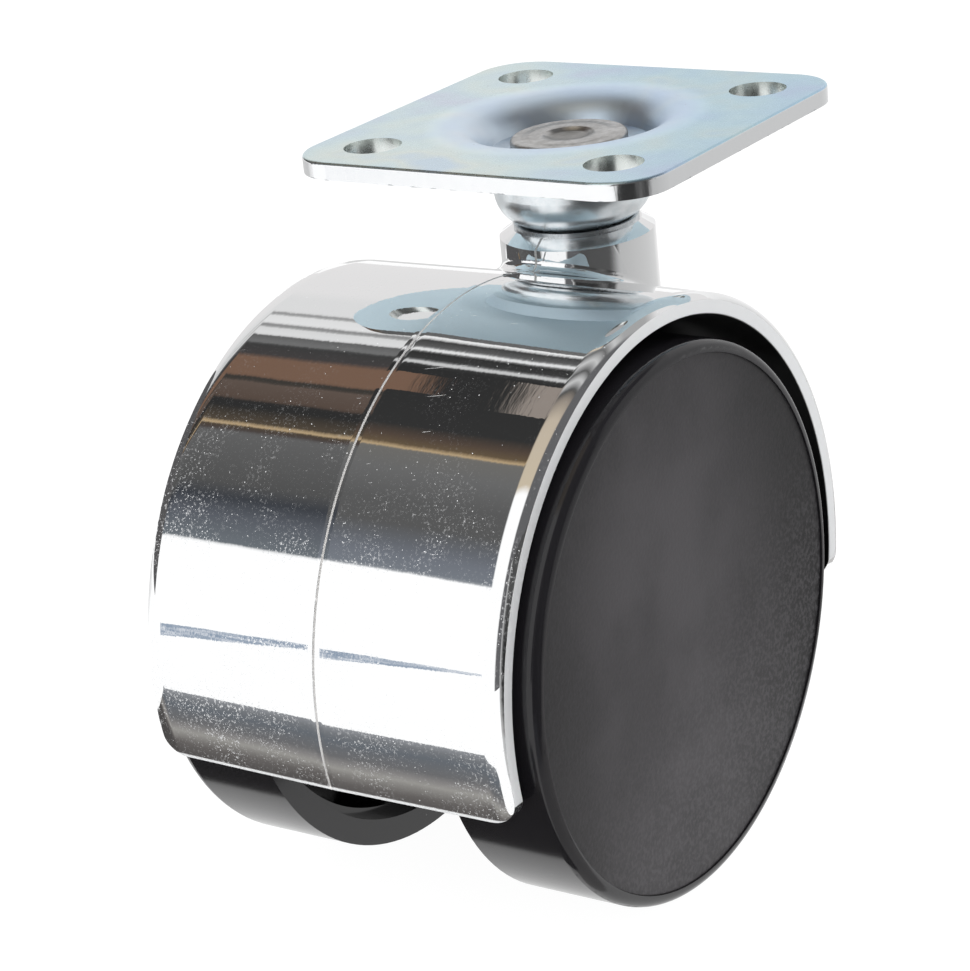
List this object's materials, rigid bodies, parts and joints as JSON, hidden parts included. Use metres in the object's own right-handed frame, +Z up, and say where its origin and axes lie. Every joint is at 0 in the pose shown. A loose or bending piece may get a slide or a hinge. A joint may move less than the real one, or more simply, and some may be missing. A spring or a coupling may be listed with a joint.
{
  "type": "twin wheel castor",
  "caption": "Small hooded furniture castor with a square screw plate, a swivelling chrome die-cast hood and two hollow black wheels on one axle.",
  "frame": {"origin": "centre of the plate's top face, on the swivel axis", "axes": "+Z up along the swivel axis, +X towards the hood's closed front, +Y along the axle to the left wheel"},
  "size_m": [0.0649, 0.0406, 0.0645],
  "materials": {
    "zinc_plate": "blue zinc plating, smooth",
    "zinc_pin": "turned, zinc plated, head riveted bare",
    "washer_steel": "plain steel",
    "spring_steel": "phosphated spring steel",
    "chrome_hood": "mirror chrome on a zinc casting",
    "axle_steel": "drawn steel",
    "black_nylon": "moulded black nylon, textured outer face"
  },
  "bodies": {
    "plate": {"top_plate": "zinc_plate", "king_pin": "zinc_pin", "retaining_ring": "spring_steel"},
    "hood": {"hood": "chrome_hood", "thrust_washer": "washer_steel", "axle": "axle_steel", "left_axle_clip": "spring_steel", "right_axle_clip": "spring_steel"},
    "left_wheel": {"left_wheel": "black_nylon"},
    "right_wheel": {"right_wheel": "black_nylon"}
  },
  "joints": [
    {"name": "swivel", "type": "hinge", "parent": "plate", "child": "hood", "pos_m": [0, 0, 0], "axis": [0, 0, 1], "continuous": true},
    {"name": "left_wheel_spin", "type": "hinge", "parent": "hood", "child": "left_wheel", "pos_m": [0.0183, 0, -0.0395], "axis": [0, 1, 0], "continuous": true},
    {"name": "right_wheel_spin", "type": "hinge", "parent": "hood", "child": "right_wheel", "pos_m": [0.0183, 0, -0.0395], "axis": [0, 1, 0], "continuous": true}
  ]
}
